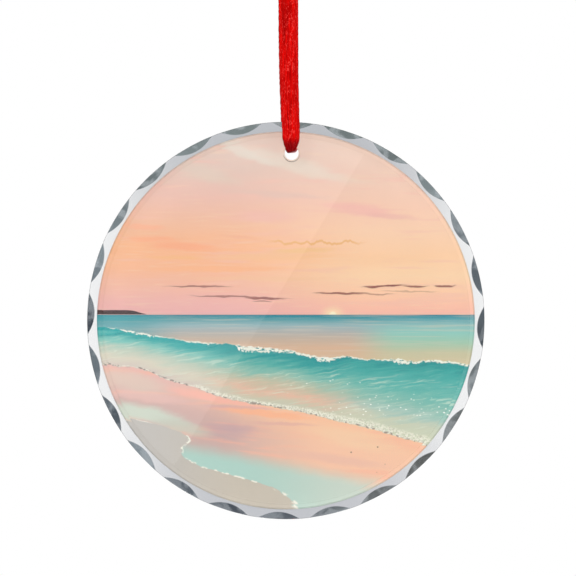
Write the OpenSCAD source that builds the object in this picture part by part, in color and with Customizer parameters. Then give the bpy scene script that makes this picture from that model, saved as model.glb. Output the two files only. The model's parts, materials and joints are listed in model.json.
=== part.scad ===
// Round cut-glass ornament: a clear disc with a ground, faceted rim and a picture printed
// behind it, hung from a narrow satin ribbon that is tied in a loop through one small hole.
// Millimetres, +Z up. The origin is the hanging point, inside the loop just under its knot.
// The disc faces -Y.

/* [Glass disc] */
// Diameter of the disc over its rim
disc_diameter = 80; // [60:1:120]
// Thickness of the glass
disc_thickness = 5; // [4:0.5:5]
// How far the blank is turned on its ribbon, clockwise seen from the front, in degrees
disc_turn = 2; // [-10:0.5:10]

/* [Bevels] */
// Width of each ground bevel, from the rim in to the flat face
bevel_width = 3; // [1.6:0.1:3.6]
// Depth of each ground bevel, from the flat face back to the girdle
bevel_depth = 1.6; // [0.6:0.1:1.8]

/* [Cut facets] */
// Facets ground round the front edge
facet_count = 24; // [16:1:30]
// Length of one facet along the rim
facet_length = 8.3; // [4:0.1:8.6]
// How far one facet reaches in from the rim across the bevel
facet_reach = 1.5; // [0.8:0.1:1.5]

/* [Hole] */
// Diameter of the drilled hole
hole_diameter = 2.8; // [2.8:0.1:4]
// From the rim in to the middle of the hole
hole_edge = 6.3; // [5:0.1:10]
// Width of the small chamfer ground round each mouth of the hole
hole_chamfer = 0.3; // [0.1:0.1:0.5]

/* [Picture] */
// Thickness of the colour layer
print_thickness = 0.1; // [0.05:0.05:0.2]
// Thickness of the white coat behind the colour
backing_thickness = 0.2; // [0.1:0.05:0.4]
// White margin left outside the colour, at the rim
print_margin = 0.1; // [0.1:0.1:1]
// Bare glass left round the hole
hole_margin = 0.2; // [0.1:0.1:0.5]

/* [Ribbon] */
// Width of the flat ribbon
ribbon_width = 4; // [3:0.5:4]
// Thickness of the ribbon where it lies flat
ribbon_thickness = 0.5; // [0.3:0.1:0.5]

/* [Knot] */
// Diameter of the tied knot
knot_diameter = 7.2; // [6:0.1:8]

/* [Hidden] */
$fn = 96;
over = 1;           // how far a cutter runs past what it cuts
ribbon_sides = 8;   // sides of the ribbon's plain tube

// The ribbon's route from one cut end to the other: X, Y, Z, then its width and its
// thickness there as shares of the flat ribbon's. The loop is parted just below the neck,
// where it twists.
front_tail = [
    [-5.4, -2.4, 18.5, 1, 1], [-3.9, -1.9, 14.5, 1, 1], [-2.2, -1.3, 10.8, 0.9, 1],
    [-1.1, -0.9, 8.4, 0.65, 1.2], [-1.1, -0.9, 7.6, 0.65, 1.2]];
front_neck = [
    [0, -0.9, 2.2, 0.75, 1.2], [0, -1.1, -3, 1, 1], [0.1, -1.4, -9.8, 1, 1]];
front_strand = [
    [0.1, -1.4, -10.2, 1, 1], [0.35, -2.3, -28, 1, 1], [0.58, -2.8, -38, 1, 1],
    [0.68, -3.1, -48, 1, 1], [0.8, -3.1, -57, 1, 1], [1.05, -3.1, -64, 0.95, 1],
    [1.15, -3.1, -67.5, 0.88, 1], [1.2, -3.1, -69.4, 0.82, 1.1], [1.25, -3.1, -70.3, 0.75, 1.2]];
bight = [
    [1.3, -2.8, -71, 0.6, 1.4], [1.3, -2.1, -71.3, 0.4, 1.5], [1.3, -1, -71.3, 0.38, 1.5],
    [1.3, 1.4, -71.3, 0.38, 1.5], [1.3, 2.4, -71.3, 0.4, 1.5], [1.3, 3.1, -71, 0.6, 1.4]];
back_strand = [
    [1.2, 3.4, -70.3, 0.75, 1.2], [1.15, 3.4, -69.4, 0.8, 1.1], [1.05, 3.4, -67.5, 0.9, 1],
    [0.95, 3.4, -64, 1, 1], [0.75, 3.4, -57, 1, 1], [0.65, 3.4, -48, 1, 1],
    [0.6, 3, -38, 1, 1], [0.4, 2.4, -28, 1, 1], [0, 1.4, -10.2, 1, 1]];
back_neck = [
    [0, 1.4, -9.8, 1, 1], [0, 1.1, -3, 1, 1], [0, 0.9, 2.2, 0.75, 1.2]];
back_tail = [
    [1.1, 0.9, 7.6, 0.65, 1.2], [1.1, 0.9, 8.4, 0.65, 1.2], [2.4, 1.2, 10.8, 0.9, 1],
    [4.3, 1.5, 14.2, 1, 1], [6.2, 1.6, 17.4, 1, 1]];

// The knot fills the stretch between the neck and the tails.
knot_bottom = front_neck[0][2];
knot_top = back_tail[0][2];

// The ribbon passes through the middle of the hole, and the disc hangs below it.
hole_place = [1.3, 0, -72];
disc_radius = disc_diameter / 2;
hole_height = disc_radius - hole_edge;
hole_on_face = hole_height * [sin(disc_turn), cos(disc_turn)];
disc_place = hole_place - [hole_on_face[0], 0, hole_on_face[1]];
face_radius = disc_radius - bevel_width;
half_glass = disc_thickness / 2;
hole_radius = hole_diameter / 2;
bare_radius = hole_radius + hole_margin;
print_radius = face_radius - print_margin;
print_back = -half_glass - print_thickness;

// A facet is flat: it passes through the point where it reaches furthest in across the
// bevel, and through its two tips on the rim. Levels are heights above the disc's middle.
rim_level = half_glass - bevel_depth;
facet_level = half_glass - bevel_depth * (bevel_width - facet_reach) / bevel_width;
facet_radius = disc_radius - facet_reach;
tip_radius = sqrt(disc_radius * disc_radius - facet_length * facet_length / 4);
facet_slope = atan2(facet_level - rim_level, tip_radius - facet_radius);

// Places a shape drawn with its front upwards, round the disc's axis, where the disc hangs.
module on_disc() {
    translate(disc_place)
        rotate([90, 0, 0])
            children();
}

// The round blank: two flat faces, two ground bevels and a narrow girdle.
module blank() {
    rotate_extrude()
        polygon([
            [0, -half_glass], [face_radius, -half_glass], [disc_radius, -rim_level],
            [disc_radius, rim_level], [face_radius, half_glass], [0, half_glass]]);
}

// One facet's cutter. Its underside is the facet.
module facet_cutter() {
    translate([0, facet_radius, facet_level])
        rotate([-facet_slope, 0, 0])
            translate([-facet_length, -disc_thickness, 0])
                cube([2 * facet_length, 3 * disc_thickness, disc_thickness]);
}

// The facets stand evenly round the front edge. The back edge keeps its plain bevel.
module facet_row() {
    for (k = [0 : facet_count - 1])
        rotate([0, 0, k * 360 / facet_count])
            facet_cutter();
}

// A straight hole with a chamfer at each mouth.
module drilling() {
    translate([0, 0, -half_glass - over])
        cylinder(r = hole_radius, h = disc_thickness + 2 * over);
    for (side = [0, 1])
        mirror([0, 0, side])
            translate([0, 0, half_glass - hole_chamfer])
                cylinder(r1 = hole_radius, r2 = hole_radius + hole_chamfer + over,
                         h = hole_chamfer + over);
}

module glass_disc() {
    color([0.86, 0.91, 0.92, 0.5])
        on_disc()
            difference() {
                rotate([0, 0, -disc_turn])
                    difference() {
                        blank();
                        facet_row();
                    }
                translate(hole_on_face)
                    drilling();
            }
}

// ---------------------------------------------------------------- picture
// A flat film behind the glass, bare round the hole.
module film(radius, top, bottom, bare) {
    difference() {
        translate([0, 0, bottom])
            cylinder(r = radius, h = top - bottom);
        translate([hole_on_face[0], hole_on_face[1], bottom - over])
            cylinder(r = bare, h = top - bottom + 2 * over);
    }
}

module colour_print() {
    color([0.95, 0.76, 0.65])
        on_disc()
            film(print_radius, -half_glass, print_back, bare_radius);
}

// The white coat lies behind the colour and meets the glass in a narrow border round it.
module white_backing() {
    color([0.97, 0.97, 0.96])
        on_disc()
            difference() {
                film(face_radius, -half_glass, print_back - backing_thickness, bare_radius);
                translate([0, 0, print_back])
                    cylinder(r = print_radius, h = print_thickness + over);
            }
}

// ---------------------------------------------------------------- ribbon
function place(stop) = [stop[0], stop[1], stop[2]];
function unit(v) = v / norm(v);
function along(route, i) =
    unit(place(route[min(i + 1, len(route) - 1)]) - place(route[max(i - 1, 0)]));

// One oval ring of the tube, square to the ribbon's run, with its width level.
function ring(stop, run) =
    let (across = unit([1, 0, 0] - run[0] * run),
         through = cross(run, across))
    [for (k = [0 : ribbon_sides - 1])
        let (angle = 360 * (k + 0.5) / ribbon_sides)
        place(stop)
            + across * (ribbon_width / 2 * stop[3] * cos(angle))
            + through * (ribbon_thickness / 2 * stop[4] * sin(angle))];

// A closed tube along the route, one ring at each stop.
module ribbon_run(route) {
    last = len(route) - 1;
    n = ribbon_sides;
    polyhedron(
        points = [for (i = [0 : last]) each ring(route[i], along(route, i))],
        faces = concat(
            [[for (k = [0 : n - 1]) k]],
            [[for (k = [n - 1 : -1 : 0]) last * n + k]],
            [for (i = [0 : last - 1], k = [0 : n - 1])
                [i * n + k, (i + 1) * n + k, (i + 1) * n + (k + 1) % n, i * n + (k + 1) % n]]),
        convexity = 4);
}

module ribbon_loop() {
    color([0.86, 0.03, 0.04])
        ribbon_run(concat(front_strand, bight, back_strand));
}

module ribbon_neck() {
    color([0.82, 0.03, 0.04])
        for (route = [front_neck, back_neck])
            ribbon_run(route);
}

// The outer shape of the overhand knot that ties both strands together.
module ribbon_knot() {
    color([0.78, 0.02, 0.04])
        intersection() {
            translate([0, 0, (knot_bottom + knot_top) / 2])
                sphere(d = knot_diameter);
            translate([-knot_diameter, -knot_diameter, knot_bottom])
                cube([2 * knot_diameter, 2 * knot_diameter, knot_top - knot_bottom]);
        }
}

module ribbon_tails() {
    color([0.86, 0.03, 0.04])
        for (route = [front_tail, back_tail])
            ribbon_run(route);
}

glass_disc();
colour_print();
white_backing();
ribbon_loop();
ribbon_neck();
ribbon_knot();
ribbon_tails();
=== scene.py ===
import bmesh
import bpy
import json
import math
import numpy as np
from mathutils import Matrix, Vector


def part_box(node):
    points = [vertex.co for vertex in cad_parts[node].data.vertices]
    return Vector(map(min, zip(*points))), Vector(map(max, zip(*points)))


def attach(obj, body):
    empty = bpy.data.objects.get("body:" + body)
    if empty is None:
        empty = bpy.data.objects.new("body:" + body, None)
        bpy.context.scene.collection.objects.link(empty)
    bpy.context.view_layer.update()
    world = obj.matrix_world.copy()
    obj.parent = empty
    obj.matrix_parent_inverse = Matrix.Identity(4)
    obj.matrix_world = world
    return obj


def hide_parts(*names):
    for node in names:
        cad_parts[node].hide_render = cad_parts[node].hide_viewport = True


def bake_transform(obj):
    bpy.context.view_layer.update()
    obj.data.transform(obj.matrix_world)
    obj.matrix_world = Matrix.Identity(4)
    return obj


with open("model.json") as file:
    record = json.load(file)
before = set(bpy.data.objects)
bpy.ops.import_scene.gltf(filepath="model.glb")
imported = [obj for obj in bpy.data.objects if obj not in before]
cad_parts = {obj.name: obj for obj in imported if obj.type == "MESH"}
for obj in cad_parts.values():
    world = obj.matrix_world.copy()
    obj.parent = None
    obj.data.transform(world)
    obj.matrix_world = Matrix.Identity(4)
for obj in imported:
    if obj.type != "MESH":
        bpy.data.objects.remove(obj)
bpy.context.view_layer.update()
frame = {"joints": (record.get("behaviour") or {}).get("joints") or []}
MM = 0.001


# ---- The view ---------------------------------------------------------------
# The ornament hangs at eye level and is looked at square on, from arm's length.
# The ribbon runs up out of the top of the view.
eye_distance = 0.8
view_width = 0.1161
sensor_width = 36.0

camera_data = bpy.data.cameras.new("level_view")
camera_data.sensor_width = sensor_width
camera_data.lens = sensor_width * eye_distance / view_width
camera = bpy.data.objects.new("level_view", camera_data)
camera.location = (0.00056, -eye_distance, -0.09913)
camera.rotation_euler = (math.radians(90), 0, 0)
bpy.context.scene.collection.objects.link(camera)
bpy.context.scene.camera = camera


# ---- The ribbon -------------------------------------------------------------
# One piece of red satin ribbon, woven of fine lengthwise threads. It is passed
# through the hole in the glass, folded in two and tied with its ends together.
ribbon_width = 4.0 * MM
ribbon_thickness = 0.5 * MM
ribbon_length = 0.2
ribbon_hole = [joint for joint in frame["joints"] if joint["name"] == "disc_swing"][0]["pos_m"]

# Across, back, up, share of the width, share of the thickness, roll in degrees.
front_tail = [[-5.4, -2.4, 18.5, 1, 1, 0], [-3.9, -1.9, 14.5, 1, 1, 0], [-2.2, -1.3, 10.8, 0.9, 1, 0],
              [-1.1, -0.9, 8.0, 0.65, 1.2, 0]]
front_strand = [[0, -0.9, 1.8, 0.75, 1.1, 0], [0, -1.1, -3, 1, 1, 0], [0.1, -1.4, -8.6, 1, 1, 0],
                [0.1, -1.4, -11.4, 1, 1, 0], [0.2, -1.8, -18, 1, 1, 0], [0.35, -2.3, -28, 1, 1, 0],
                [0.58, -2.8, -38, 1, 1, 0], [0.68, -3.1, -48, 0.97, 1, 0], [0.8, -3.1, -57, 0.93, 1, 0],
                [1.05, -3.1, -64, 0.9, 1, 0], [1.15, -3.1, -67.5, 0.89, 1.1, 0],
                [1.18, -3.1, -69.4, 0.84, 1.3, -4], [1.18, -3.05, -70.5, 0.7, 1.5, -12]]
through_hole = [[1.2, -2.75, -71.2, 0.57, 1.7, -19], [1.22, -2.1, -71.45, 0.48, 1.7, -19],
                [1.3, -1, -71.4, 0.44, 1.7, -14], [1.3, 1.4, -71.4, 0.44, 1.6, -4],
                [1.3, 2.4, -71.4, 0.46, 1.6, 0], [1.3, 3.1, -71.1, 0.6, 1.5, 0]]
back_strand = [[1.2, 3.4, -70.3, 0.75, 1.2, 0], [1.15, 3.4, -69.4, 0.8, 1.1, 0],
               [1.05, 3.4, -67.5, 0.9, 1, 0], [0.95, 3.4, -64, 0.93, 1, 0], [0.75, 3.4, -57, 0.97, 1, 0],
               [0.65, 3.4, -48, 1, 1, 0], [0.6, 3, -38, 1, 1, 0], [0.4, 2.4, -28, 1, 1, 0],
               [0.2, 1.8, -18, 1, 1, 0], [0, 1.4, -11.4, 1, 1, 0], [0, 1.4, -8.6, 1, 1, 0],
               [0, 1.1, -3, 1, 1, 0], [0, 0.9, 1.8, 0.75, 1.1, 0]]
back_tail = [[1.1, 0.9, 8.0, 0.65, 1.2, 0], [2.4, 1.2, 10.8, 0.9, 1, 0], [4.3, 1.5, 14.2, 1, 1, 0],
             [6.2, 1.6, 17.4, 1, 1, 0]]


def smooth_run(stops, spacing):
    """A cubic curve through every stop: between two stops each number blends the two
    values and the two slopes with Hermite's weights, over the distance along the stops."""
    reach = np.concatenate([[0], np.cumsum(np.linalg.norm(np.diff(stops[:, :3], axis=0), axis=1))])
    slopes = np.gradient(stops, reach, axis=0)
    places = np.linspace(0, reach[-1], int(reach[-1] / spacing) + 1)
    leg = np.clip(np.searchsorted(reach, places, side="right") - 1, 0, len(reach) - 2)
    span = np.diff(reach)[leg][:, None]
    s = (places - reach[leg])[:, None] / span
    start, end = (2 * s**3 - 3 * s**2 + 1) * stops[leg], (3 * s**2 - 2 * s**3) * stops[leg + 1]
    lift = (s**3 - 2 * s**2 + s) * slopes[leg] * span + (s**3 - s**2) * slopes[leg + 1] * span
    return start + end + lift


def sweep(centres, sides, widths, thicknesses, around, closed):
    """Carries a flat oval along a path: each point is the centre, plus the side direction times
    half the width times a squared-off cosine, plus the face direction times half the thickness
    times a squared-off sine, with low ridges along the threads and a fine scallop at one edge."""
    count = len(centres)
    ahead = np.roll(centres, -1, 0) - np.roll(centres, 1, 0) if closed else np.gradient(centres, axis=0)
    ahead /= np.linalg.norm(ahead, axis=1)[:, None]
    sides = sides - np.sum(sides * ahead, axis=1)[:, None] * ahead
    sides /= np.linalg.norm(sides, axis=1)[:, None]
    faces = np.cross(ahead, sides)
    steps = np.linalg.norm(np.diff(centres, axis=0), axis=1)
    length = np.concatenate([[0], np.cumsum(steps)])
    turn = np.arange(around) * 2 * math.pi / around
    across = np.sign(np.cos(turn)) * np.abs(np.cos(turn)) ** 0.75
    proud = np.sign(np.sin(turn)) * np.abs(np.sin(turn)) ** 0.7
    mm = length[:, None] / MM
    drift = 0.9 * np.sin(mm * 0.55) + 0.6 * np.sin(mm * 0.23 + 1.0)
    ridges = 0.035 * MM * np.sin(across * 19 + drift) * (1 - np.abs(across) ** 6)
    ridges += 0.02 * MM * np.sin(across * 47 - 1.7 * drift + 0.4) * (1 - np.abs(across) ** 6)
    scallop = 0.035 * MM * np.sin(mm * 4.3 + 2.3 * np.sin(mm * 0.9)) * np.clip(-across, 0, 1) ** 4
    scallop += 0.025 * MM * np.sin(mm * 3.1 + 2.0 * np.sin(mm * 1.3)) * np.clip(across, 0, 1) ** 4
    out = across * widths[:, None] / 2 + np.sign(across) * scallop
    up = proud * thicknesses[:, None] / 2 + np.sign(proud) * ridges * np.abs(proud) ** 0.5
    points = centres[:, None] + out[..., None] * sides[:, None] + up[..., None] * faces[:, None]
    ring, spoke = np.meshgrid(np.arange(count if closed else count - 1), np.arange(around), indexing="ij")
    after, beside = (ring + 1) % count, (spoke + 1) % around
    quads = np.stack([ring * around + spoke, ring * around + beside,
                      after * around + beside, after * around + spoke], axis=-1).reshape(-1, 4)
    u = np.stack([spoke, spoke + 1, spoke + 1, spoke], axis=-1).reshape(-1, 4) / around
    full = np.concatenate([length, [length[-1] + steps[-1]]]) / ribbon_length
    v = np.stack([full[ring], full[ring], full[ring + 1], full[ring + 1]], axis=-1).reshape(-1, 4)
    return points.reshape(-1, 3), quads, np.stack([u, v], axis=-1)


def ribbon_mesh(name, points, quads, weave, caps):
    """A mesh of the swept quads with their weave coordinates (round the ribbon, along it), and
    a flat end on each cap ring. The face loops keep the order of the quads."""
    mesh = bpy.data.meshes.new(name)
    mesh.from_pydata(points.tolist(), [], quads.tolist() + [list(map(int, cap)) for cap in caps])
    layer = mesh.uv_layers.new(name="weave")
    corners = np.zeros((len(mesh.loops), 2))
    corners[: quads.size] = weave.reshape(-1, 2)
    layer.data.foreach_set("uv", corners.ravel())
    mesh.polygons.foreach_set("use_smooth", np.ones(len(mesh.polygons), dtype=bool))
    work = bmesh.new()
    work.from_mesh(mesh)
    bmesh.ops.recalc_face_normals(work, faces=work.faces)
    work.to_mesh(mesh)
    work.free()
    piece = bpy.data.objects.new(name, mesh)
    bpy.context.scene.collection.objects.link(piece)
    return piece


ribbon_stops = np.array(front_tail + front_strand + through_hole + back_strand + back_tail, dtype=float)
ribbon_run = smooth_run(ribbon_stops, 0.35)
ribbon_centres = ribbon_run[:, :3] * MM
roll = np.radians(ribbon_run[:, 5])
ribbon_ahead = np.gradient(ribbon_centres, axis=0)
ribbon_ahead /= np.linalg.norm(ribbon_ahead, axis=1)[:, None]
level_side = np.array([1.0, 0, 0]) - ribbon_ahead[:, :1] * ribbon_ahead
proud_side = np.cross(ribbon_ahead, level_side)
ribbon_sides = np.cos(roll)[:, None] * level_side + np.sin(roll)[:, None] * proud_side
around = 72
points, quads, weave = sweep(ribbon_centres, ribbon_sides, ribbon_run[:, 3] * ribbon_width,
                             ribbon_run[:, 4] * ribbon_thickness, around, False)
# The ribbon's edge lies flat on the glass where it comes out of the hole.
mouth_radius = 1.35 * MM
glass_top = -66 * MM
on_the_glass = -2.57 * MM
from_hole_axis = np.hypot(points[:, 0] - ribbon_hole[0], points[:, 2] - ribbon_hole[2])
pressed = (from_hole_axis > mouth_radius) & (points[:, 2] < glass_top) & (points[:, 1] < 0)
points[pressed, 1] = np.minimum(points[pressed, 1], on_the_glass)
ribbon_caps = [np.arange(around)[::-1], np.arange(len(points) - around, len(points))]
ribbon = ribbon_mesh("satin_ribbon_loop", points, quads, weave, ribbon_caps)

# The overhand knot is tied in both strands at once, so it looks like a soft three-lobed ball.
knot_centre = np.array([0, 0, 4.9]) * MM
knot_half_width = 1.05 * MM
knot_steps = 420
knot_turn = np.arange(knot_steps) * 2 * math.pi / knot_steps
knot_centres = knot_centre + knot_half_width * np.stack(
    [np.sin(knot_turn) + 1.55 * np.sin(2 * knot_turn),
     -1.15 * np.sin(3 * knot_turn),
     np.cos(knot_turn) - 1.55 * np.cos(2 * knot_turn)], axis=-1)
knot_out = knot_centres - knot_centre
knot_out[:, 1] *= 2.2
knot_ahead = np.roll(knot_centres, -1, 0) - np.roll(knot_centres, 1, 0)
knot_widths = ribbon_width * (0.62 + 0.05 * np.sin(5 * knot_turn))
knot_thicknesses = ribbon_thickness * (3.0 + 0.3 * np.cos(7 * knot_turn))
knot_around = 48
points, quads, weave = sweep(knot_centres, np.cross(knot_out, knot_ahead), knot_widths, knot_thicknesses,
                             knot_around, True)
knot = ribbon_mesh("satin_ribbon_knot", points, quads, weave, [])


def put(tree, kind, sockets=None, **settings):
    """Adds a node, sets its settings, and joins or sets its sockets by name or number."""
    fresh = tree.nodes.new("ShaderNode" + kind)
    for name, value in settings.items():
        setattr(fresh, name, value)
    for name, value in (sockets or {}).items():
        if isinstance(value, bpy.types.NodeSocket):
            tree.links.new(value, fresh.inputs[name])
        else:
            fresh.inputs[name].default_value = value
    return fresh


def colour(red, green, blue):
    """A display colour of 0 to 255 as the linear light that shaders work in."""
    share = np.array([red, green, blue]) / 255
    light = np.where(share <= 0.04045, share / 12.92, ((share + 0.055) / 1.055) ** 2.4)
    return (*light.tolist(), 1.0)


def new_finish(name):
    """A fresh material, its node tree and its shader."""
    finish = bpy.data.materials.new(name)
    finish.use_nodes = True
    return finish, finish.node_tree, finish.node_tree.nodes["Principled BSDF"]


def math_of(tree, operation, first, second=0.0, third=0.0):
    """One Math node's value."""
    return put(tree, "Math", {0: first, 1: second, 2: third}, operation=operation).outputs[0]


def times(tree, first, second):
    """The product of two values."""
    return math_of(tree, "MULTIPLY", first, second)


def minus(tree, first, second):
    """The first value less the second."""
    return math_of(tree, "SUBTRACT", first, second)


def rise(tree, value, low, high):
    """0 below low, 1 above high, and an S between them."""
    return put(tree, "MapRange", {0: value, 1: low, 2: high}, interpolation_type="SMOOTHSTEP").outputs[0]


def layer(tree, mask, below, above):
    """One colour laid over another where the mask is 1."""
    mixed = put(tree, "Mix", {0: mask}, data_type="RGBA")
    for socket, value in ((6, below), (7, above)):
        if isinstance(value, bpy.types.NodeSocket):
            tree.links.new(value, mixed.inputs[socket])
        else:
            mixed.inputs[socket].default_value = value
    return mixed.outputs[2]


def grain(tree, place, stretch, detail=2.0, distortion=0.0):
    """Noise that is stretched by its own share in each direction."""
    spread = put(tree, "Mapping", {"Vector": place, "Scale": stretch}).outputs[0]
    return put(tree, "TexNoise", {"Vector": spread, "Scale": 1.0, "Detail": detail,
                                  "Distortion": distortion}).outputs[0]


satin, tree, shader = new_finish("red_satin")
weave_map = put(tree, "UVMap", uv_map="weave").outputs[0]
weave_parts = put(tree, "SeparateXYZ", {0: weave_map})
round_it, along_it = weave_parts.outputs[0], weave_parts.outputs[1]
threads = grain(tree, weave_map, (64, 46, 1), 2.0, 0.6)
bundles = grain(tree, weave_map, (22, 20, 1), 1.0, 0.9)
sheen_flecks = grain(tree, weave_map, (38, 190, 1), 1.5, 1.8)
body = layer(tree, rise(tree, threads, 0.36, 0.64), colour(178, 0, 0), colour(242, 10, 7))
body = layer(tree, times(tree, rise(tree, bundles, 0.48, 0.66), 0.5), body, colour(160, 0, 2))
# Painted highlight: pale red flecks stand in for the glints of satin threads catching the light.
body = layer(tree, times(tree, rise(tree, sheen_flecks, 0.56, 0.68), 0.85), body, colour(255, 66, 60))
across = math_of(tree, "COSINE", times(tree, round_it, 2 * math.pi))
# Darker along both edges of the ribbon.
darker_edges = rise(tree, math_of(tree, "ABSOLUTE", across), 0.93, 1.0)
body = layer(tree, times(tree, darker_edges, 0.75), body, colour(120, 0, 8))
# Painted shade where it bends into the hole, and a painted shade line along a lengthwise crease further
# up.
lowest = np.argmin(ribbon_centres[:, 2] + 0.01 * ribbon_centres[:, 1] ** 2)
drawn_length = float(np.sum(np.linalg.norm(np.diff(ribbon_centres, axis=0), axis=1)))
hole_share = float(lowest / (len(ribbon_centres) - 1)) * drawn_length / ribbon_length
from_hole = times(tree, math_of(tree, "ABSOLUTE", minus(tree, along_it, hole_share)),
                  ribbon_length / MM)
# Painted shade: darker red where the ribbon bends into the hole.
body = layer(tree, times(tree, rise(tree, from_hole, 3.5, 1.7), 0.7), body, colour(96, 0, 8))
# Painted shade: a darker lengthwise line along a crease, away from the hole.
from_fold = math_of(tree, "ABSOLUTE", math_of(tree, "ADD", across, 0.42))
crease_shade = minus(tree, 1.0, rise(tree, from_fold, 0.05, 0.3))
crease_shade = times(tree, crease_shade, rise(tree, from_hole, 18.0, 30.0))
body = layer(tree, times(tree, crease_shade, 0.55), body, colour(140, 0, 0))
tree.links.new(body, shader.inputs["Base Color"])
relief = math_of(tree, "ADD", times(tree, threads, 0.6), times(tree, sheen_flecks, 0.5))
tree.links.new(put(tree, "Bump", {"Height": relief, "Strength": 0.55, "Distance": 0.00012}).outputs[0],
               shader.inputs["Normal"])
shader.inputs["Roughness"].default_value = 0.38
shader.inputs["Specular IOR Level"].default_value = 0.22
shader.inputs["Specular Tint"].default_value = (1.0, 0.12, 0.1, 1.0)
shader.inputs["Anisotropic"].default_value = 0.5

for piece in (ribbon, knot):
    piece.data.materials.append(satin)
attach(knot, "hanger")
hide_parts("ribbon_knot")
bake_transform(ribbon)
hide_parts("ribbon_loop", "ribbon_neck", "ribbon_tails")
# The ribbon's shadow is switched off. The lamps would throw a soft one beside the hole.
ribbon.visible_shadow = False


# ---- The cut glass ----------------------------------------------------------
# A round plate of optical glass, 80 mm across and 5 mm thick. Both edges have a
# wide ground bevel, and a row of short flats is cut across the front one. The
# edges round the rim have a fine arris.
glass_radius = 40.0
glass_half = 2.5
bevel_width = 3.0
bevel_depth = 1.6
facet_count = 24
facet_length = 8.3
facet_reach = 1.5
disc_turn = 2
facet_turn = math.radians(90 - disc_turn)
hole_radius = 1.4
hole_chamfer = 0.3
arris_width = 0.05 * MM
glass_low, glass_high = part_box("glass_disc")
glass_middle = np.array([(glass_low[0] + glass_high[0]) / 2, 0, (glass_low[2] + glass_high[2]) / 2])

flat_radius = glass_radius - bevel_width
bevel_slope = bevel_depth / bevel_width
facet_top = glass_half - bevel_depth * (bevel_width - facet_reach) / bevel_width
edge_top = glass_half - bevel_depth
facet_tip = math.sqrt(glass_radius**2 - facet_length**2 / 4)
facet_slope = (facet_top - edge_top) / (facet_tip - glass_radius + facet_reach)
facet_offset = facet_top + (glass_radius - facet_reach) * facet_slope
facet_offset -= glass_half + flat_radius * bevel_slope
facet_half_angle = math.acos((facet_offset / glass_radius + bevel_slope) / facet_slope)
facet_pitch = 2 * math.pi / facet_count


def edge_profile(angle):
    """Where the bevel meets a flat, and where the flat meets the rim, at an angle from the
    flat's middle. The bevel is a cone and the flat a plane, so they meet at the radius where
    their depths are the same, and the rim is the plane's depth at the full radius."""
    steepness = np.cos(angle) * facet_slope - bevel_slope
    meeting = np.where(steepness > 1e-6, facet_offset / np.maximum(steepness, 1e-6), glass_radius)
    meeting = np.minimum(meeting, glass_radius)
    inner = glass_half - (meeting - flat_radius) * bevel_slope
    flat = facet_top + (glass_radius - facet_reach - glass_radius * np.cos(angle)) * facet_slope
    return meeting, inner, np.minimum(edge_top, flat)


facet_steps = 30
within = np.concatenate([np.linspace(-0.5, 0.5, facet_steps + 1)[:-1] * facet_pitch,
                         [facet_half_angle, -facet_half_angle]])
azimuth = (facet_turn + np.arange(facet_count)[:, None] * facet_pitch + np.sort(within)[None]).ravel()
from_middle = (azimuth - facet_turn + facet_pitch / 2) % facet_pitch - facet_pitch / 2
meeting, inner, rim = edge_profile(from_middle)
hole_offset = (np.array([ribbon_hole[0], 0, ribbon_hole[2]]) - glass_middle) / MM


def circle(radius, depth):
    """A ring about the disc's middle, in millimetres, with depth counted towards the viewer."""
    radius, depth = radius * np.ones(len(azimuth)), depth * np.ones(len(azimuth))
    return np.stack([radius * np.cos(azimuth), -depth, radius * np.sin(azimuth)], axis=-1)


def hole_circle(radius, depth):
    """A ring about the hole: each of its points lies on the line from the hole's middle to
    the rim's point of the same number, so no two lines between them cross."""
    spokes = circle(flat_radius, 0) - hole_offset
    spokes /= np.linalg.norm(spokes, axis=1)[:, None]
    return hole_offset + radius * spokes + np.array([0, -depth, 0])


mouth = hole_radius + hole_chamfer
bore_half = glass_half - hole_chamfer
rings = [hole_circle(hole_radius, bore_half), hole_circle(mouth, glass_half),
         circle(flat_radius, glass_half), circle(meeting, inner), circle(glass_radius, rim),
         circle(glass_radius, -edge_top), circle(flat_radius, -glass_half),
         hole_circle(mouth, -glass_half), hole_circle(hole_radius, -bore_half)]


def ring_mesh(name, rings, crease, reflection_haze=(), eased_from=1.0):
    """Joins each ring to the next with quads and the last to the first, so the piece is a closed
    ring of revolution. Edges that turn more than the crease angle stay sharp. The bands of quads
    numbered in the fourth argument take the second finish, and sharp edges outside the radius
    eased_from are marked for an arris."""
    size, count = len(rings[0]), len(rings)
    ring, spoke = np.meshgrid(np.arange(count), np.arange(size), indexing="ij")
    after, beside = (ring + 1) % count, (spoke + 1) % size
    quads = np.stack([ring * size + spoke, after * size + spoke,
                      after * size + beside, ring * size + beside], axis=-1).reshape(-1, 4)
    mesh = bpy.data.meshes.new(name)
    mesh.from_pydata((np.concatenate(rings) * MM + glass_middle).tolist(), [], quads.tolist())
    second = np.repeat(np.isin(np.arange(count), reflection_haze), size)
    mesh.polygons.foreach_set("material_index", second.astype(np.int32))
    work = bmesh.new()
    work.from_mesh(mesh)
    bmesh.ops.remove_doubles(work, verts=work.verts, dist=1e-7)
    bmesh.ops.dissolve_degenerate(work, edges=work.edges, dist=1e-8)
    bmesh.ops.recalc_face_normals(work, faces=work.faces)
    for face in work.faces:
        face.smooth = True
    eased = work.edges.layers.float.new("bevel_weight_edge")
    for edge in work.edges:
        edge.smooth = len(edge.link_faces) < 2 or edge.calc_face_angle(0) < crease
        middle = (edge.verts[0].co + edge.verts[1].co) / 2 - Vector(glass_middle)
        if not edge.smooth and math.hypot(middle.x, middle.z) > eased_from:
            edge[eased] = 1.0
    work.to_mesh(mesh)
    work.free()
    piece = bpy.data.objects.new(name, mesh)
    bpy.context.scene.collection.objects.link(piece)
    return piece


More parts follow.
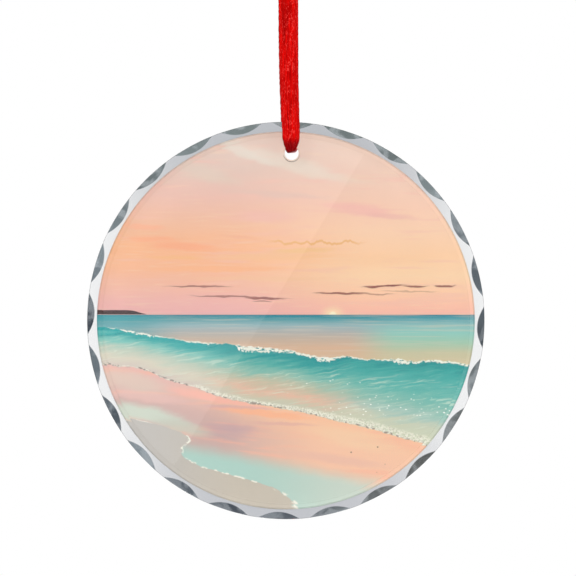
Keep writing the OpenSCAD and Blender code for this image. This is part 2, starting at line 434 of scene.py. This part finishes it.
# The band next to the girdle carries a painted reflection, and every edge outside the flat faces is eased.
reflection_bands = (3,)
crease = math.radians(2.2)
glass = ring_mesh("cut_glass_disc", rings, crease, reflection_bands, (flat_radius + 0.3) * MM)
arris = glass.modifiers.new("arris", "BEVEL")
arris.width = arris_width
arris.segments = 1
arris.limit_method = "WEIGHT"


def glass_finish(name, reflection_haze):
    """Clear glass that lamps shine straight through. With a share given, that much of it is a
    painted reflection: diffuse dark slate and pale grey, patchy from place to place."""
    finish, tree, shader = new_finish(name)
    shader.inputs["Base Color"].default_value = (0.985, 0.992, 1.0, 1)
    shader.inputs["Transmission Weight"].default_value = 1.0
    shader.inputs["Roughness"].default_value = 0.0
    shader.inputs["IOR"].default_value = 1.52
    surface = shader.outputs[0]
    if reflection_haze:
        metres = put(tree, "TexCoord").outputs["Object"]
        cloudy = put(tree, "TexNoise", {"Vector": metres, "Scale": 260.0, "Detail": 3.0,
                                        "Distortion": 1.0}).outputs[0]
        # Painted reflection: dark slate and pale grey diffuse colour standing in for the dark and bright
        # surroundings seen in the facets.
        tint = layer(tree, rise(tree, cloudy, 0.4, 0.6), colour(60, 74, 88), colour(228, 234, 238))
        haze = put(tree, "BsdfDiffuse", {0: tint}).outputs[0]
        share = times(tree, rise(tree, cloudy, 0.35, 0.62), reflection_haze)
        surface = put(tree, "MixShader", {0: share, 1: surface, 2: haze}).outputs[0]
    shadow_share = put(tree, "LightPath").outputs["Is Shadow Ray"]
    see_through = put(tree, "BsdfTransparent").outputs[0]
    mixed = put(tree, "MixShader", {0: shadow_share, 1: surface, 2: see_through}).outputs[0]
    tree.links.new(mixed, tree.nodes["Material Output"].inputs["Surface"])
    return finish


glass.data.materials.append(glass_finish("clear_glass", 0.0))
glass.data.materials.append(glass_finish("facet_reflection_glass", 0.25))
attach(glass, "disc")
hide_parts("glass_disc")


# ---- The printed picture ----------------------------------------------------
# A film with a pastel seascape at dusk, printed in inks on its front and laid
# against the back of the glass. It stops just short of the bevel, and its hole
# is cut a little larger than the one in the glass.
picture_radius = flat_radius + 0.15
picture_hole = 1.6
picture_front = glass_half + 0.03
picture_back = glass_half + 0.08
picture_rings = [hole_circle(picture_hole, -picture_front), circle(picture_radius, -picture_front),
                 circle(picture_radius, -picture_back), hole_circle(picture_hole, -picture_back)]
picture = ring_mesh("printed_picture_film", picture_rings, math.radians(30))


def curve_of(tree, value, low, high, points, bottom, top):
    """A curve of value from low to high through the points, in the same unit as value."""
    share = put(tree, "MapRange", {0: value, 1: low, 2: high}).outputs[0]
    shape = put(tree, "FloatCurve", {1: share})
    line = shape.mapping.curves[0]
    places = [((x - low) / (high - low), (y - bottom) / (top - bottom)) for x, y in points]
    line.points[0].location, line.points[-1].location = places[0], places[-1]
    for place in places[1:-1]:
        line.points.new(*place)
    shape.mapping.update()
    return put(tree, "MapRange", {0: shape.outputs[0], 3: bottom, 4: top}).outputs[0]


def shades(tree, value, low, high, stops):
    """Colours that follow value, each given at its place from low to high."""
    share = put(tree, "MapRange", {0: value, 1: low, 2: high}).outputs[0]
    ramp = put(tree, "ValToRGB", {0: share})
    band = ramp.color_ramp.elements
    for number, (place, shade) in enumerate(stops):
        spot = (place - low) / (high - low)
        stop = band[number] if number < 2 else band.new(spot)
        stop.position, stop.color = spot, colour(*shade)
    return ramp.outputs[0]


def dab(tree, place, centre, size, turn=0.0):
    """A soft oval brush mark: 1 in its middle, falling to 0 at its half sizes."""
    local = put(tree, "Mapping", {"Vector": place, "Location": (centre[0], 0, centre[1]),
                                  "Rotation": (0, math.radians(-turn), 0), "Scale": (size[0], 1, size[1])},
                vector_type="TEXTURE").outputs[0]
    flat = put(tree, "VectorMath", {0: local, 1: (1, 0, 1)}, operation="MULTIPLY").outputs[0]
    return put(tree, "TexGradient", {0: flat}, gradient_type="SPHERICAL").outputs[0]


inks, tree, shader = new_finish("picture_inks")
metres = put(tree, "TexCoord").outputs["Object"]
plane = put(tree, "Mapping", {"Vector": metres, "Location": tuple(glass_middle), "Scale": (MM, MM, MM)},
            vector_type="TEXTURE").outputs[0]
plane_parts = put(tree, "SeparateXYZ", {0: plane})
x, z = plane_parts.outputs[0], plane_parts.outputs[2]
spread = put(tree, "Mapping", {"Vector": plane, "Scale": (0.35, 1, 0.9)}).outputs[0]
wander = put(tree, "TexNoise", {"Vector": spread, "Scale": 1.0, "Detail": 2.0}).outputs[1]
shift = put(tree, "VectorMath", {0: wander, 1: (0.5, 0.5, 0.5)}, operation="SUBTRACT").outputs[0]
brushed = put(tree, "VectorMath", {0: shift, 1: (3.0, 0, 0.9), 2: plane},
              operation="MULTIPLY_ADD").outputs[0]
brushed_parts = put(tree, "SeparateXYZ", {0: brushed})
bx, bz = brushed_parts.outputs[0], brushed_parts.outputs[2]
streaks = grain(tree, plane, (0.07, 1, 0.9), 3.0, 0.3)
fine_streaks = grain(tree, plane, (0.16, 1, 3.2), 2.0, 0.2)

# The sky: cream overhead, peach and orange lower down, pink at the horizon.
left_sky = shades(tree, bz, 0, 38, [
    (0.5, (236, 174, 170)), (36, (229, 200, 184)), (4, (240, 179, 168)), (7, (244, 184, 158)),
    (11, (249, 184, 141)), (15, (250, 184, 136)), (19, (245, 188, 152)), (25, (238, 190, 172)),
    (31, (229, 198, 182))])
right_sky = shades(tree, bz, 0, 38, [
    (0.5, (250, 185, 166)), (36, (240, 208, 188)), (3, (254, 194, 166)), (5, (255, 203, 166)),
    (9, (255, 214, 171)), (13, (255, 208, 164)), (18, (254, 211, 176)), (23, (251, 206, 179)),
    (29, (244, 206, 184))])
sky = layer(tree, rise(tree, x, -16, 20), left_sky, right_sky)
sky = layer(tree, times(tree, rise(tree, streaks, 0.52, 0.72), 0.4), sky, colour(246, 190, 172))
sky = layer(tree, times(tree, rise(tree, fine_streaks, 0.55, 0.75), 0.3), sky, colour(250, 214, 178))
for centre, size, turn, strength, shade in (
        ((0.5, 31.8), (16, 2.3), -16, 0.6, (236, 224, 206)),
        ((-9, 34.0), (10, 1.3), -20, 0.6, (232, 222, 206)),
        ((-16, 29.5), (9, 2.2), -14, 0.5, (226, 208, 188)),
        ((10, 28.8), (11, 1.0), -8, 0.3, (240, 218, 198)),
        ((-2, 25.5), (15, 0.9), -4, 0.4, (226, 196, 182)),
        ((-4, 21), (9, 1.8), -2, 0.5, (244, 186, 176)),
        ((15, 22.3), (10, 1.8), -8, 0.7, (248, 188, 176)),
        ((21, 21.0), (8, 0.8), -4, 0.5, (240, 180, 170)),
        ((-29, 18.9), (6, 1.0), -3, 0.9, (250, 180, 142)),
        ((-27, 16.4), (8, 0.8), 0, 0.9, (250, 174, 130)),
        ((-20.5, 14.9), (10, 1.3), -3, 1.0, (250, 172, 128)),
        ((-14, 15.8), (7, 0.9), 0, 0.6, (248, 184, 144)),
        ((-9, 16.8), (5, 0.5), -6, 0.6, (244, 178, 142)),
        ((-22, 12.7), (8, 0.7), 0, 0.9, (248, 186, 128)),
        ((-3, 12.9), (17, 1.1), 1, 0.7, (248, 194, 142)),
        ((-14, 10.4), (20, 0.9), 0, 0.9, (250, 182, 132)),
        ((-6, 8.4), (20, 0.7), 0, 0.5, (246, 196, 150)),
        ((3, 14.1), (9, 0.7), 2, 0.8, (246, 196, 136)),
        ((19, 12.2), (14, 1.8), 0, 0.5, (252, 204, 158)),
        ((24, 9.6), (10, 0.8), 0, 0.5, (254, 212, 168))):
    mark = rise(tree, dab(tree, brushed, centre, size, turn), 0.0, 0.75)
    sky = layer(tree, times(tree, mark, strength), sky, colour(*shade))

# A thin gilt edge on one cloud, and small dark drifts of cloud low down.
gilt_line = math_of(tree, "ADD", times(tree, grain(tree, plane, (0.55, 1, 0.05), 3.0), 2.4), 14.5)
from_gilt = math_of(tree, "ABSOLUTE", minus(tree, z, gilt_line))
gilt = minus(tree, 1.0, rise(tree, from_gilt, 0.0, 0.42))
gilt = times(tree, gilt, rise(tree, dab(tree, plane, (6, 15.6), (11, 9)), 0.0, 0.4))
sky = layer(tree, times(tree, gilt, 0.8), sky, colour(238, 176, 100))
for centre, size, turn, strength in (
        ((-17.8, 6.9), (8, 0.28), 0, 0.8), ((-9.5, 4.75), (13, 0.26), -1.5, 0.75),
        ((-4.6, 4.4), (5, 0.3), -1, 0.9), ((-4.8, 3.8), (2.4, 0.22), 0, 0.6),
        ((11.4, 5.5), (7, 0.3), 0, 0.9), ((17.5, 5.3), (6, 0.2), 0, 0.5),
        ((20.4, 7.0), (6, 0.34), 1.5, 1.0), ((16.8, 6.7), (2.6, 0.28), 0, 0.9),
        ((26.5, 6.8), (3, 0.3), 0, 0.9), ((32.2, 6.9), (3, 0.28), 0, 0.9),
        ((25, 5.9), (8, 0.2), 0, 0.35)):
    mark = rise(tree, dab(tree, brushed, centre, size, turn), 0.05, 0.55)
    sky = layer(tree, times(tree, mark, strength), sky, colour(146, 74, 62))
glow = dab(tree, plane, (9.5, 1.3), (3.2, 2.2))
sky = layer(tree, times(tree, rise(tree, glow, 0.0, 1.0), 0.9), sky, colour(255, 226, 178))
sun = rise(tree, dab(tree, plane, (9.5, 1.2), (1.0, 0.9)), 0.1, 0.6)
sky = layer(tree, sun, sky, colour(255, 240, 205))

# The far sea, from a dark line at the horizon to still water with the sky in it.
left_sea = shades(tree, z, -10, 2, [
    (-9, (218, 186, 150)), (1.1, (14, 122, 140)), (0.75, (30, 142, 154)), (0, (96, 162, 168)),
    (-1, (150, 182, 184)), (-2.2, (174, 177, 173)), (-3.6, (198, 178, 158)), (-5.5, (220, 181, 148))])
right_sea = shades(tree, z, -10, 2, [
    (-9, (218, 198, 156)), (1.1, (22, 126, 144)), (0.7, (50, 148, 162)), (0, (104, 170, 174)),
    (-1, (144, 192, 186)), (-2.5, (144, 202, 188)), (-4.5, (162, 202, 174)), (-6.5, (204, 198, 160))])
sea = layer(tree, rise(tree, x, 12, 23), left_sea, right_sea)
swell = rise(tree, grain(tree, plane, (0.09, 1, 3.4), 2.0), 0.5, 0.7)
sea = layer(tree, times(tree, swell, 0.3), sea, colour(224, 206, 182))
sea = layer(tree, times(tree, rise(tree, x, -20, -32), 0.6), sea, colour(40, 160, 166))
picture_colour = layer(tree, rise(tree, z, 1.08, 1.22), sea, sky)

# A dark headland on the left, with a pale strand under it.
land_top = curve_of(tree, x, -38, -27, [
    (-38, 2.1), (-34, 2.15), (-31, 2.05), (-29.3, 1.6), (-27, 1.1)], 0.0, 3.0)
land = minus(tree, land_top, z)
land = times(tree, rise(tree, land, 0.0, 0.12), rise(tree, z, 1.16, 1.26))
land = times(tree, land, math_of(tree, "LESS_THAN", x, -28.2))
picture_colour = layer(tree, land, picture_colour, colour(52, 8, 8))

# The breaking wave: its crest and the shoreline are two curves, and its colours follow
# the share of the way between them.
ragged = minus(tree, grain(tree, plane, (0.75, 1, 0.3), 4.0, 0.4), 0.5)
crest = curve_of(tree, x, -38, 38, [
    (-38, -1.0), (-33.4, -1.8), (-23.4, -3.5), (-15.9, -4.5), (-11, -4.7), (-8.4, -5.3), (0.8, -6.1),
    (8.6, -7.6), (12.3, -7.25), (16, -7.8), (22.8, -7.9), (25.2, -8.3), (30, -8.1),
    (38, -9.2)], -12.0, 0.0)
crest = math_of(tree, "MULTIPLY_ADD", ragged, 0.8, crest)
torn = minus(tree, grain(tree, plane, (2.6, 1, 0.8), 3.0, 0.6), 0.5)
crest = math_of(tree, "MULTIPLY_ADD", torn, 0.55, crest)
below_crest = minus(tree, crest, z)
shore_ragged = minus(tree, grain(tree, plane, (1.1, 1, 1.1), 3.0), 0.5)
shore = curve_of(tree, x, -38, 38, [
    (-38, -7.6), (-34.7, -9.1), (-30.9, -9.4), (-27.2, -10.4), (-24.7, -11.7), (-18.4, -13.5),
    (-13.4, -15.3), (-5.9, -16.9), (0.8, -18.0), (12.4, -20.7), (18.6, -22.2), (23.7, -23.7),
    (30, -25.2), (38, -27.0)], -30.0, 0.0)
shore = math_of(tree, "MULTIPLY_ADD", shore_ragged, 0.7, shore)
way = math_of(tree, "DIVIDE", below_crest, minus(tree, crest, shore))
slanted = put(tree, "Mapping", {"Vector": brushed, "Rotation": (0, math.radians(9), 0)}).outputs[0]
face_lines = grain(tree, slanted, (0.11, 1, 1.5), 3.0, 0.5)
way = math_of(tree, "MULTIPLY_ADD", minus(tree, face_lines, 0.5), 0.3, way)
left_face = shades(tree, way, 0, 1, [
    (0.0, (0, 164, 162)), (1.0, (218, 202, 188)), (0.12, (30, 172, 168)), (0.3, (128, 200, 186)),
    (0.52, (194, 208, 188)), (0.78, (222, 214, 192))])
middle_face = shades(tree, way, 0, 1, [
    (0.0, (0, 146, 146)), (1.0, (206, 206, 182)), (0.14, (36, 160, 155)), (0.27, (84, 178, 166)),
    (0.42, (146, 194, 175)), (0.58, (200, 193, 163)), (0.75, (232, 188, 160)),
    (0.88, (210, 202, 174))])
right_face = shades(tree, way, 0, 1, [
    (0.0, (0, 144, 141)), (1.0, (212, 214, 182)), (0.14, (56, 170, 161)), (0.27, (84, 180, 169)),
    (0.4, (106, 187, 173)), (0.55, (140, 194, 177)), (0.68, (172, 203, 188)), (0.82, (206, 210, 184))])
face = layer(tree, rise(tree, x, -22, -6), left_face, middle_face)
face = layer(tree, rise(tree, x, 4, 20), face, right_face)
for stretch, low, strength in (((0.13, 1, 2.4), 0.57, 0.45), ((0.2, 1, 4.4), 0.56, 0.2)):
    wisps = rise(tree, grain(tree, slanted, stretch, 3.0, 0.5), low, low + 0.14)
    wisps = times(tree, wisps, rise(tree, way, 0.08, 0.36))
    face = layer(tree, times(tree, wisps, strength), face, colour(228, 236, 216))
deeps = rise(tree, grain(tree, slanted, (0.12, 1, 1.9), 2.0, 0.6), 0.56, 0.68)
deeps = times(tree, deeps, rise(tree, way, 0.45, 0.05))
face = layer(tree, times(tree, deeps, 0.4), face, colour(0, 132, 136))
spread = put(tree, "Mapping", {"Vector": plane, "Scale": (1.0, 1, 1.5)}).outputs[0]
dots = put(tree, "TexVoronoi", {"Vector": spread, "Scale": 1.0, "Randomness": 1.0}).outputs["Distance"]
in_rows = rise(tree, grain(tree, plane, (0.12, 1, 0.9), 2.0), 0.5, 0.62)
sparkle = times(tree, minus(tree, 1.0, rise(tree, dots, 0.1, 0.26)), in_rows)
sparkle = times(tree, sparkle, rise(tree, dab(tree, plane, (17, -16.6), (23, 4.6), -9), 0.05, 0.3))
face = layer(tree, sparkle, face, colour(250, 250, 238))
picture_colour = layer(tree, rise(tree, below_crest, -0.05, 0.12), picture_colour, face)

# Foam on the crest, torn into drips where the wave curls over.
foam_width = curve_of(tree, x, -38, 38, [
    (-38, 0.0), (-33, 0.28), (-29, 0.4), (-24, 0.2), (-17, 0.3), (-10.5, 0.12), (-9.2, 0.95),
    (-3, 0.8), (0.5, 0.55), (4, 0.45), (8, 0.7), (11, 0.35), (19, 0.25), (23.5, 0.8), (26, 0.35),
    (31, 0.45), (38, 0.3)], 0.0, 1.0)
drips = times(tree, grain(tree, plane, (3.2, 1, 0.5), 3.0), 2.0)
foam_depth = times(tree, foam_width, drips)
foam = times(tree, rise(tree, minus(tree, foam_depth, below_crest), 0.0, 0.14),
               rise(tree, math_of(tree, "MULTIPLY_ADD", foam_width, 0.3, below_crest), 0.0, 0.1))
foam = times(tree, foam, rise(tree, grain(tree, plane, (1.6, 1, 3.6), 3.0), 0.36, 0.5))
picture_colour = layer(tree, foam, picture_colour, colour(244, 242, 226))

# The beach: pink and lilac wet sand on the left, peach on the right, and the foam line
# where the water stops.
sand = layer(tree, rise(tree, x, -26, -2), colour(236, 188, 176), colour(255, 200, 160))
low_sand = layer(tree, rise(tree, x, -16, 10), colour(212, 176, 167), colour(252, 200, 166))
down_beach = math_of(tree, "MULTIPLY_ADD", x, -0.22, times(tree, bz, -1.0))
sand = layer(tree, rise(tree, down_beach, 17, 25), sand, low_sand)
tilted = put(tree, "Mapping", {"Vector": plane, "Rotation": (0, math.radians(-4), 0)}).outputs[0]
sand_streaks = grain(tree, tilted, (0.06, 1, 0.7), 3.0, 0.4)
sand = layer(tree, times(tree, rise(tree, sand_streaks, 0.5, 0.7), 0.6), sand, colour(252, 186, 154))
for centre, size, turn, strength, shade in (
        ((-9, -17.6), (10, 0.5), -3, 0.5, (214, 166, 180)),
        ((-14, -15.6), (14, 1.4), -10, 0.8, (255, 188, 168)),
        ((-4, -18.8), (13, 1.0), -6, 0.8, (255, 184, 140)),
        ((-11, -21.6), (9, 1.2), -4, 0.5, (208, 162, 164)),
        ((-12, -22.8), (7, 2.2), -4, 0.5, (200, 166, 168)),
        ((0, -20.9), (9, 0.5), -2, 0.4, (222, 160, 162)),
        ((-31, -12.4), (10, 2.8), -14, 0.6, (230, 210, 190)),
        ((-28, -15.4), (12, 1.5), -8, 0.6, (240, 196, 184)),
        ((-29, -18.6), (13, 2.2), -12, 1.0, (212, 218, 200)),
        ((-21, -21.5), (8, 2.0), -14, 0.8, (204, 206, 188)),
        ((14, -24), (14, 2.6), -12, 0.6, (252, 212, 172)),
        ((10, -28), (14, 1.4), -8, 0.5, (238, 186, 168))):
    mark = rise(tree, dab(tree, brushed, centre, size, turn), 0.0, 0.7)
    sand = layer(tree, times(tree, mark, strength), sand, colour(*shade))

# The shallow pool it has left, and dry beige sand beyond the pool's foamy edge.
pool_depth = math_of(tree, "MULTIPLY_ADD", x, -0.19, times(tree, bz, -1.0))
pool = rise(tree, pool_depth, 27.2, 31.2)
pool_tone = layer(tree, rise(tree, x, -10, 16), colour(180, 214, 200), colour(206, 216, 200))
sand = layer(tree, pool, sand, pool_tone)
edge = curve_of(tree, z, -38, -17, [
    (-38, 3.4), (-36.2, 1.0), (-33.8, -2.4), (-32.2, -7.4), (-30.5, -13.3), (-29.1, -18.0),
    (-26.1, -21.1), (-24.1, -19.4), (-22.1, -22.3), (-19.7, -31.4), (-17, -40)], -42.0, 8.0)
edge_ragged = minus(tree, grain(tree, plane, (0.9, 1, 0.9), 3.0), 0.5)
edge = math_of(tree, "MULTIPLY_ADD", edge_ragged, 1.6, edge)
beyond = minus(tree, edge, x)
dry = layer(tree, rise(tree, x, -30, -8), colour(198, 192, 184), colour(206, 194, 176))
grit = rise(tree, grain(tree, plane, (6, 1, 6), 2.0), 0.5, 0.7)
dry = layer(tree, times(tree, grit, 0.2), dry, colour(186, 176, 160))
sand = layer(tree, rise(tree, beyond, -0.1, 0.3), sand, dry)
flatness = layer(tree, rise(tree, z, -29.5, -28), (0.7, 0.7, 0.7, 1), (0.32, 0.32, 0.32, 1))
from_edge = math_of(tree, "DIVIDE", math_of(tree, "ABSOLUTE", beyond), flatness)
edge_foam = minus(tree, 1.0, rise(tree, from_edge, 0.5, 1.1))
dashes = rise(tree, grain(tree, plane, (0.8, 1, 0.8), 1.0), 0.44, 0.54)
sand = layer(tree, times(tree, edge_foam, dashes), sand, colour(246, 242, 226))

past_shore = minus(tree, shore, z)
picture_colour = layer(tree, rise(tree, past_shore, -0.1, 0.2), picture_colour, sand)
speckle = grain(tree, plane, (3.4, 1, 3.8), 2.0)
lace_width = curve_of(tree, x, -38, 38, [
    (-38, 0.2), (-28, 0.25), (-20, 0.3), (-17.5, 1.0), (-12, 1.2), (-5, 0.9), (4, 1.3), (12, 1.6),
    (20, 1.9), (28, 1.8), (38, 1.8)], 0.0, 2.5)
before_shore = times(tree, past_shore, -1.0)
lace = minus(tree, 1.0, math_of(tree, "DIVIDE", before_shore, lace_width))
lace = times(tree, rise(tree, lace, 0.0, 0.5), rise(tree, past_shore, 0.1, -0.1))
lace_spots = times(tree, lace, rise(tree, speckle, 0.38, 0.56))
picture_colour = layer(tree, times(tree, lace_spots, 0.9), picture_colour, colour(246, 242, 224))
lace_gaps = times(tree, lace, rise(tree, grain(tree, plane, (2.2, 1, 3.4), 3.0), 0.56, 0.66))
picture_colour = layer(tree, times(tree, lace_gaps, 0.5), picture_colour, colour(176, 168, 140))
from_wrack = math_of(tree, "ABSOLUTE", math_of(tree, "ADD", past_shore, 0.1))
wrack = minus(tree, 1.0, rise(tree, from_wrack, 0.05, 0.3))
wrack = times(tree, wrack, rise(tree, grain(tree, plane, (2.0, 1, 2.0), 3.0), 0.5, 0.58))
picture_colour = layer(tree, times(tree, wrack, 0.75), picture_colour, colour(120, 98, 84))
shells = put(tree, "TexVoronoi", {"Vector": plane, "Scale": 0.42, "Randomness": 1.0}).outputs["Distance"]
shells = times(tree, minus(tree, 1.0, rise(tree, shells, 0.05, 0.11)),
                 rise(tree, dab(tree, plane, (18, -29), (13, 5), -12), 0.1, 0.3))
picture_colour = layer(tree, times(tree, shells, 0.7), picture_colour, colour(126, 86, 70))

tree.links.new(picture_colour, shader.inputs["Base Color"])
shader.inputs["Roughness"].default_value = 0.5
shader.inputs["Specular IOR Level"].default_value = 0.2
picture.data.materials.append(inks)
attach(picture, "disc")
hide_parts("colour_print")


# ---- The white coat ---------------------------------------------------------
# A coat of matt white lacquer over the back of the picture, rolled on, which makes
# the colours show and closes the back. It thins out at its edge, and is bare round the
# hole and on the bevel.
coat_radius = flat_radius + 0.15
coat_front = glass_half + 0.1
coat_back = glass_half + 0.3
coat_feather = 0.25
coat_rings = [hole_circle(picture_hole, -coat_front), circle(coat_radius, -coat_front),
              circle(coat_radius - coat_feather, -coat_back), hole_circle(picture_hole, -coat_back)]
coat = ring_mesh("white_coat_film", coat_rings, math.radians(30))

lacquer, tree, shader = new_finish("white_lacquer")
metres = put(tree, "TexCoord").outputs["Object"]
cloudy = put(tree, "TexNoise", {"Vector": metres, "Scale": 90.0, "Detail": 3.0}).outputs[0]
orange_peel = put(tree, "TexNoise", {"Vector": metres, "Scale": 1400.0, "Detail": 2.0}).outputs[0]
tree.links.new(layer(tree, rise(tree, cloudy, 0.35, 0.7), colour(238, 238, 236), colour(246, 246, 245)),
               shader.inputs["Base Color"])
dullness = put(tree, "MapRange", {0: cloudy, 3: 0.42, 4: 0.58}).outputs[0]
tree.links.new(dullness, shader.inputs["Roughness"])
relief = put(tree, "Bump", {"Height": orange_peel, "Strength": 0.15, "Distance": 0.00005}).outputs[0]
tree.links.new(relief, shader.inputs["Normal"])
coat.data.materials.append(lacquer)
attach(coat, "disc")
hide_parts("white_backing")


# ---- The studio -------------------------------------------------------------
# A white room with a dark ring of screens round its far wall, as cut glass is lit,
# and a dim patch behind the camera. Soft lamps light the front and the back, and
# one soft box shows in the glass.
def aim(piece, place, target):
    """Puts a lamp at a place, facing a target."""
    piece.location = place
    piece.rotation_euler = (Vector(target) - Vector(place)).to_track_quat("-Z", "Y").to_euler()


def soft_lamp(name, place, width, height, watts, mirrored):
    """A rectangular lamp that the camera doesn't see, facing the ornament, mirrored in it or not."""
    data = bpy.data.lights.new(name, "AREA")
    data.shape = "RECTANGLE"
    data.size, data.size_y, data.energy = width, height, watts
    lamp = bpy.data.objects.new(name, data)
    bpy.context.scene.collection.objects.link(lamp)
    lamp.visible_camera, lamp.visible_glossy = False, mirrored
    aim(lamp, place, tuple(glass_middle))
    return lamp


soft_lamp("key_lamp", (-0.6, -0.8, 0.5), 0.5, 0.5, 3.3, False)
soft_lamp("fill_lamp", (0.7, -0.7, 0.1), 0.4, 0.4, 1.85, False)
back_lamp = soft_lamp("back_lamp", (0.5, 0.9, 0.4), 0.5, 0.5, 2.0, False)
back_lamp.visible_transmission = False

# The soft box hangs behind the camera. Its lower right edge runs from lower left to upper
# right, and its mirror image crosses the glass.
box_distance = 1.1
box_spread = 1 + box_distance / eye_distance
edge_low = np.array([-23.0, -35.9]) * MM * box_spread
edge_high = np.array([15.1, 26.6]) * MM * box_spread
edge_run = (edge_high - edge_low) / np.linalg.norm(edge_high - edge_low)
box_width, box_height = 0.3, 0.6
box_middle = (edge_low + edge_high) / 2 + np.array([-edge_run[1], edge_run[0]]) * box_width / 2
soft_box = soft_lamp("soft_box", (0, -1, 0), box_width, box_height, 0.22, True)
soft_box.location = (camera.location[0] + box_middle[0], -box_distance,
                     camera.location[2] + box_middle[1])
soft_box.rotation_euler = (math.radians(90), math.atan2(edge_run[0], edge_run[1]), 0)

floor_size = 3.0
floor_height = -0.32
floor_mesh = bpy.data.meshes.new("studio_floor")
corner = floor_size / 2
floor_corners = [(across * corner, back * corner, floor_height)
                 for across, back in ((-1, -1), (1, -1), (1, 1), (-1, 1))]
floor_mesh.from_pydata(floor_corners, [], [(0, 1, 2, 3)])
floor = bpy.data.objects.new("studio_floor", floor_mesh)
bpy.context.scene.collection.objects.link(floor)
paper, tree, shader = new_finish("white_paper")
shader.inputs["Base Color"].default_value = (0.9, 0.9, 0.9, 1)
shader.inputs["Roughness"].default_value = 0.9
shader.inputs["Emission Color"].default_value = (1, 1, 1, 1)
shader.inputs["Emission Strength"].default_value = 0.8
seen = put(tree, "LightPath").outputs["Is Camera Ray"]
see_through = put(tree, "BsdfTransparent").outputs[0]
mixed = put(tree, "MixShader", {0: seen, 1: see_through, 2: shader.outputs[0]}).outputs[0]
tree.links.new(mixed, tree.nodes["Material Output"].inputs["Surface"])
floor_mesh.materials.append(paper)

room = bpy.data.worlds.new("white_room")
room.use_nodes = True
bpy.context.scene.world = room
tree = room.node_tree
look = put(tree, "TexCoord").outputs["Generated"]
facing = put(tree, "SeparateXYZ", {0: look})
screens = put(tree, "TexNoise", {"Vector": look, "Scale": 3.4, "Detail": 3.0}).outputs[0]
sides = layer(tree, rise(tree, screens, 0.4, 0.62), (0.015, 0.03, 0.05, 1), (0.24, 0.29, 0.32, 1))
sides = layer(tree, times(tree, rise(tree, facing.outputs[2], -0.1, -0.7), 0.6), sides,
              (0.3, 0.35, 0.33, 1))
upper_left = minus(tree, facing.outputs[2], facing.outputs[0])
sides = layer(tree, times(tree, rise(tree, upper_left, 0.6, 1.1), 0.75), sides, (0.09, 0.075, 0.035, 1))
depth = put(tree, "MapRange", {0: facing.outputs[1], 1: -1.0, 2: 1.0}).outputs[0]
ramp = put(tree, "ValToRGB", {0: depth})
wall_lights = ((0.0, 0.35), (1.0, 1.0), (0.03, 0.35), (0.07, 0.95), (0.35, 0.9), (0.66, 0.6),
               (0.74, 0.0), (0.88, 0.0), (0.9, 1.0))
for number, (place, light) in enumerate(wall_lights):
    stop = ramp.color_ramp.elements[number] if number < 2 else ramp.color_ramp.elements.new(place)
    stop.position, stop.color = place, (light, light, light, 1)
ends = rise(tree, math_of(tree, "ABSOLUTE", facing.outputs[2]), 0.25, 0.6)
lit = layer(tree, ends, (1.0, 1.0, 1.0, 1), (0.62, 0.63, 0.66, 1))
walls = layer(tree, ramp.outputs[0], sides, lit)
seen = put(tree, "LightPath").outputs["Is Camera Ray"]
tree.links.new(layer(tree, seen, walls, (1, 1, 1, 1)), tree.nodes["Background"].inputs[0])
bpy.context.scene.view_settings.view_transform = "Standard"
